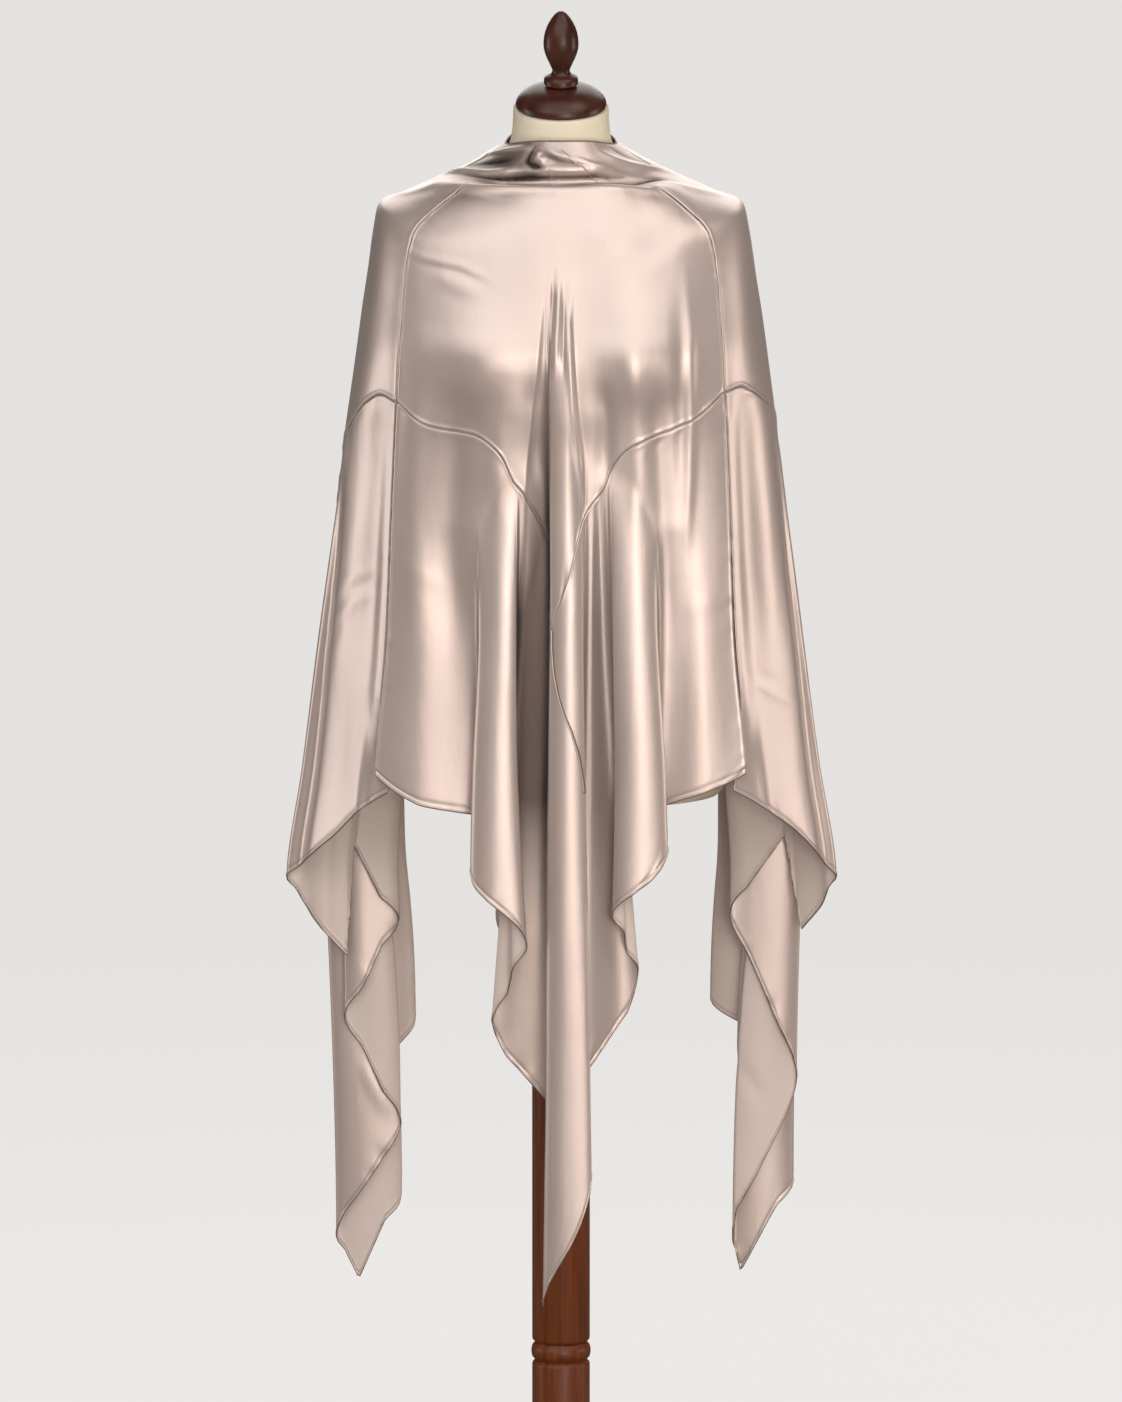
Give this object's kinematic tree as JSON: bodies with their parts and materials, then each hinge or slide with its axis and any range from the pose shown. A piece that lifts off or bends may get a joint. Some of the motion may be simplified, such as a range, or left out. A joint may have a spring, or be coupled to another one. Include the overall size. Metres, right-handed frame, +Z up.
{
  "type": "evening stole on a limbless dress form",
  "caption": "Closed satin evening stole with a soft cowl neck, V seams and a handkerchief hem in long folded points, worn by a limbless linen dress form on a turned wooden stand.",
  "frame": {"origin": "centre of the round foot's underside, on the floor under the post", "axes": "+Z up along the post, front of the stole towards -Y, +X to the viewer's right"},
  "size_m": [0.6014, 0.4, 1.669],
  "materials": {
    "satin": "champagne silk satin, glossy face and matte reverse",
    "linen": "matte cream linen",
    "dark_wood": "polished dark stain",
    "red_wood": "polished red-brown stain"
  },
  "bodies": {
    "root": {"front_yoke": "satin", "front_drop": "satin", "back_yoke": "satin", "back_drop": "satin", "left_shoulder": "satin", "left_drop": "satin", "right_shoulder": "satin", "right_drop": "satin", "torso": "linen", "neck_cap": "dark_wood", "finial": "dark_wood", "post": "red_wood", "base": "red_wood"}
  },
  "joints": []
}
